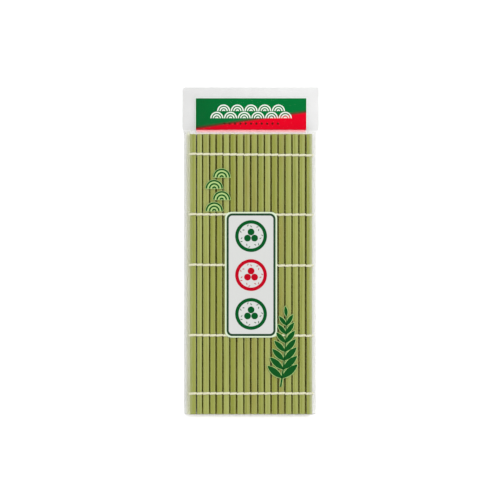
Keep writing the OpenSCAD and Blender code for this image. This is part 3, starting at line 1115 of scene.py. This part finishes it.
@dataclass
class Prints:
    """Plain generic ornaments printed on the film and the card: roll slices, a leafy sprig and wave arcs."""

    bag: Bag
    skin: float = 0.02 * MM
    keep: float = 0.012

    def _disc(self, centre: tuple[float, float], radius: float, hole: float = 0.0, steps: int = 40) -> bpy.types.Object:
        """Builds a flat disc or ring.

        Args:
            centre: The X and Y of its middle.
            radius: Its outer radius.
            hole: Its inner radius.
            steps: Points round it.

        Returns:
            The shape, in the plane Z = 0.
        """
        deselect()
        bpy.ops.mesh.primitive_circle_add(
            vertices=steps, radius=radius, fill_type="NGON", location=(centre[0], centre[1], 0))
        shape = added("print_shape")
        with editing(shape):
            bpy.ops.mesh.select_all(action="SELECT")
            if hole:
                bpy.ops.mesh.inset(thickness=radius - hole)
                bpy.ops.mesh.delete(type="FACE")
        return shape

    def _half(self, shape: bpy.types.Object, y: float) -> bpy.types.Object:
        """Cuts away what lies below this Y, and returns the shape."""
        with editing(shape):
            bpy.ops.mesh.select_all(action="SELECT")
            bpy.ops.mesh.bisect(plane_co=(0, y, 0), plane_no=(0, 1, 0), clear_inner=True)
        return shape

    def _leaf(self, foot: tuple[float, float], length: float, angle: float, grow: float = 0.0) -> bpy.types.Object:
        """Builds a flat pointed leaf.

        Args:
            foot: Where it starts.
            length: Its length.
            angle: Its direction in degrees from +X.
            grow: How much larger it is all round, for a halo.

        Returns:
            The leaf.
        """
        deselect()
        bpy.ops.mesh.primitive_circle_add(vertices=28, radius=1, fill_type="NGON", location=(0, 0, 0))
        leaf = added("print_leaf")
        reach, wide = length / 2 + grow, length * 0.17 + grow
        turn = math.radians(angle)

        def laid(place: Vector) -> Point:
            """Draws the circle out to a leaf with pointed ends, on its stalk."""
            along = place.x * reach
            across = place.y * wide * (1 - 0.45 * place.x * place.x)
            x, y = length / 2 + along, across
            return (foot[0] + x * math.cos(turn) - y * math.sin(turn),
                    foot[1] + x * math.sin(turn) + y * math.cos(turn), 0)

        reshape(leaf, laid)
        return leaf

    def _stem(self, points: Outline, width: float) -> bpy.types.Object:
        """Builds a flat band through points.

        Args:
            points: Its middle line.
            width: Its width.

        Returns:
            The band.
        """
        deselect()
        bpy.ops.mesh.primitive_grid_add(x_subdivisions=len(points) - 1, y_subdivisions=1, size=2)
        stem = added("print_stem")

        def laid(place: Vector) -> Point:
            """Lays the strip along the points."""
            index = round((place.x + 1) / 2 * (len(points) - 1))
            here = Vector(points[index])
            before, after = Vector(points[max(0, index - 1)]), Vector(points[min(len(points) - 1, index + 1)])
            way = (after - before).normalized()
            taper = 1 - 0.6 * index / (len(points) - 1)
            side = Vector((-way.y, way.x)) * (place.y * width / 2 * taper)
            return here.x + side.x, here.y + side.y, 0

        reshape(stem, laid)
        return stem

    def _print(self, shapes: list[bpy.types.Object], name: str, ink: Ink, lift: float, on_card: bool = False) -> None:
        """Lays flat shapes on the film or the card, as one printed piece.

        Args:
            shapes: The flat shapes.
            name: The name of the piece.
            ink: The ink.
            lift: How far above the surface it lies.
            on_card: True for the card, False for the film.
        """
        printed = joined(shapes, name)
        card_z = self.bag.card_high.z - 0.06 * MM

        def laid(place: Vector) -> Point:
            """Sets a vertex on its surface."""
            under = card_z if on_card else self.bag.height(place.x, place.y) + self.bag.skin
            return place.x, place.y, under + lift

        with editing(printed):
            bpy.ops.mesh.select_all(action="SELECT")
            bpy.ops.mesh.quads_convert_to_tris()
            bpy.ops.mesh.normals_make_consistent(inside=False)
        reshape(printed, laid)
        if sum(face.normal.z for face in printed.data.polygons) < 0:
            with editing(printed):
                bpy.ops.mesh.select_all(action="SELECT")
                bpy.ops.mesh.flip_normals()
        modify(printed, "SOLIDIFY", thickness=self.skin, offset=1)
        dress(printed, ink.material())
        if on_card:
            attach(printed, "bag")
        else:
            self.bag.flatten(printed, self.keep)

    def build(self) -> None:
        """Builds the panel and every print."""
        self._panel()
        self._slices()
        self._sprig()
        self._waves()
        self._card_waves()
        LOG.info("prints built")

    def _panel(self) -> None:
        """Builds the white panel, which follows the film."""
        low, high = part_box("front_panel")
        middle, size = (low + high) / 2, high - low
        corner = 5.1 * MM
        deselect()
        bpy.ops.mesh.primitive_grid_add(x_subdivisions=24, y_subdivisions=56, size=2, location=(0, 0, 0))
        panel = added("printed_panel")
        bag = self.bag

        def laid(place: Vector) -> Point:
            """Rounds the grid's corners and lays it on the film."""
            y = middle.y + place.y * size.y / 2
            lost = max(0.0, abs(y - middle.y) - (size.y / 2 - corner))
            half = size.x / 2 - corner + math.sqrt(max(0.0, corner ** 2 - lost ** 2))
            x = middle.x + place.x * half
            return x, y, bag.height(x, y) + bag.skin + 0.02 * MM

        # More rows lie near both ends, where the corners are
        reshape(panel, lambda p: (p.x, math.sin(p.y * math.pi / 2) * 0.8 + p.y * 0.2, 0))
        reshape(panel, laid)
        modify(panel, "SOLIDIFY", thickness=0.05 * MM, offset=1)
        soften(panel, 40)
        dress(panel, PanelFinish().material(middle, (size.x / 2, size.y / 2), corner))
        bag.flatten(panel, self.keep)
        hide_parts("front_panel")

    def _slices(self) -> None:
        """Prints three roll slices on the panel, green, red and green."""
        low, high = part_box("front_panel")
        x = (low.x + high.x) / 2
        for name, shift, ink in (("upper", 32.6, Ink.GREEN), ("middle", -0.8, Ink.RED), ("lower", -34.0, Ink.GREEN)):
            y = self.bag.middle_y + shift * MM
            centre = (x, y)
            shapes = [self._disc(centre, 13.6 * MM, 10.7 * MM, 64)]
            for k in range(3):
                angle = math.radians(90 + 120 * k)
                spot = (x + 3.5 * MM * math.cos(angle), y + 3.5 * MM * math.sin(angle))
                shapes.append(self._disc(spot, 2.9 * MM, 0.0, 28))
            for k in range(14):
                angle = math.radians(360 / 14 * k + 8)
                reach = (8.1 + 0.6 * (-1) ** k) * MM
                grain = self._leaf((x + reach * math.cos(angle), y + reach * math.sin(angle)),
                                   2.1 * MM, 360 / 14 * k + (50 if k % 2 else -35))
                shapes.append(grain)
            self._print(shapes, f"print_slice_{name}", ink, 0.1 * MM)

    def _sprig(self) -> None:
        """Prints a leafy sprig with a pale halo in the lower right of the bag."""
        foot_y = self.bag.middle_y - 96.4 * MM
        points = [((26.2 + 10 * t - 5 * t * t) * MM, foot_y + 60 * t * MM) for t in [k / 8 for k in range(9)]]
        for name, ink, grow, lift in (("halo", Ink.HALO, 0.5 * MM, 0.0), ("ink", Ink.DARK, 0.0, 0.04 * MM)):
            shapes = [self._stem(points, 1.5 * MM + 2 * grow)]
            for k in range(1, 8):
                foot = points[k]
                length = (18.5 - 1.1 * k) * MM
                shapes.append(self._leaf(foot, length, 38 + 3 * k, grow))
                shapes.append(self._leaf(foot, length * 0.92, 142 - 2 * k, grow))
            shapes.append(self._leaf(points[8], 9 * MM, 96, grow))
            self._print(shapes, f"print_sprig_{name}", ink, 0.02 * MM + lift)

    def _arcs(self, centre: tuple[float, float], radius: float, rings: int) -> list[bpy.types.Object]:
        """Builds half rings round one point, as on a traditional wave pattern.

        Args:
            centre: The middle of their straight side.
            radius: The radius of the largest.
            rings: How many there are.

        Returns:
            The half rings.
        """
        step = radius / (rings * 2 - 0.6)
        made = []
        for k in range(rings):
            outer = radius - 2 * k * step
            made.append(self._half(self._disc(centre, outer, max(outer - step, 0.0), 40), centre[1]))
        return made

    def _waves(self) -> None:
        """Prints a small column of wave arcs in the upper left of the bag."""
        for name, ink, grow, lift in (("halo", Ink.HALO, 0.35 * MM, 0.0), ("ink", Ink.DARK, 0.0, 0.04 * MM)):
            shapes = []
            for k in range(4):
                centre = (-27.4 * MM + (3.2 * MM if k % 2 else -3.2 * MM), self.bag.middle_y + (54.1 + 9.6 * k) * MM)
                if grow:
                    shapes.append(self._half(self._disc(centre, 7.4 * MM + grow, 0.0, 40), centre[1] - grow))
                else:
                    shapes.extend(self._arcs(centre, 7.4 * MM, 3))
            self._print(shapes, f"print_waves_{name}", ink, 0.02 * MM + lift)

    def _card_waves(self) -> None:
        """Prints two rows of white wave arcs and a row of brown dots on the card."""
        low, high = self.bag.card_low, self.bag.card_high
        middle = (low.x + high.x) / 2
        radius = 5.6 * MM
        shapes = []
        for y, count in ((high.y - 11.0 * MM, 5), (high.y - 17.2 * MM, 6)):
            for k in range(count):
                shapes.extend(self._arcs((middle + (k - (count - 1) / 2) * 2.1 * radius, y), radius, 3))
        self._print(shapes, "print_card_waves", Ink.WHITE, 0.005 * MM, on_card=True)
        dots = [self._disc((middle + (k - 5) * 4.6 * MM, high.y - 21.8 * MM), 0.95 * MM, 0.0, 24) for k in range(11)]
        self._print(dots, "print_card_dots", Ink.BROWN, 0.005 * MM, on_card=True)


# Camera, light and floor


@dataclass
class Studio:
    """A plain white floor, soft light from all round and a camera that looks straight down."""

    lens: float = 200.0
    sensor: float = 36.0
    aim: Point = (0.0, 0.00057, 2.3855)
    sky: float = 0.95
    sun: float = 1.5

    def set_camera(self) -> None:
        """Sets the camera."""
        data = bpy.data.cameras.new("camera")
        data.lens = self.lens
        data.sensor_width = self.sensor
        data.clip_start, data.clip_end = 0.01, 20
        camera = bpy.data.objects.new("camera", data)
        camera.location = self.aim
        bpy.context.scene.collection.objects.link(camera)
        bpy.context.scene.camera = camera

    def set_light(self) -> None:
        """Sets the sky, one broad sun and the colour response."""
        world = bpy.data.worlds.new("studio")
        world.use_nodes = True
        background = world.node_tree.nodes["Background"]
        background.inputs["Color"].default_value = (1, 1, 1, 1)
        background.inputs["Strength"].default_value = self.sky
        bpy.context.scene.world = world
        bpy.context.scene.view_settings.view_transform = "Standard"
        data = bpy.data.lights.new("broad_light", "SUN")
        data.energy = self.sun
        data.angle = math.radians(28)
        lamp = bpy.data.objects.new("broad_light", data)
        lamp.rotation_euler = (math.radians(-14), math.radians(24), 0)
        bpy.context.scene.collection.objects.link(lamp)

    def set_floor(self) -> None:
        """Lays the floor."""
        deselect()
        bpy.ops.mesh.primitive_plane_add(size=6, location=(0, 0, -0.4 * MM))
        floor = added("floor")
        graph = Graph("floor")
        cloud = graph.noise((0.5, 0.5, 0.5), 1.0)
        dress(floor, graph.finish(base_color=graph.mix(cloud, (0.93, 0.93, 0.93), (0.95, 0.95, 0.95)), roughness=0.9))


def main() -> None:
    """Builds the whole scene in order."""
    logging.basicConfig(level=logging.INFO, format="%(message)s")
    studio = Studio()
    studio.set_camera()
    studio.set_light()
    studio.set_floor()
    Slats().dress_all()
    Lashings().build()
    bag = Bag()
    bag.build()
    Prints(bag).build()


if __name__ == "__main__":
    main()
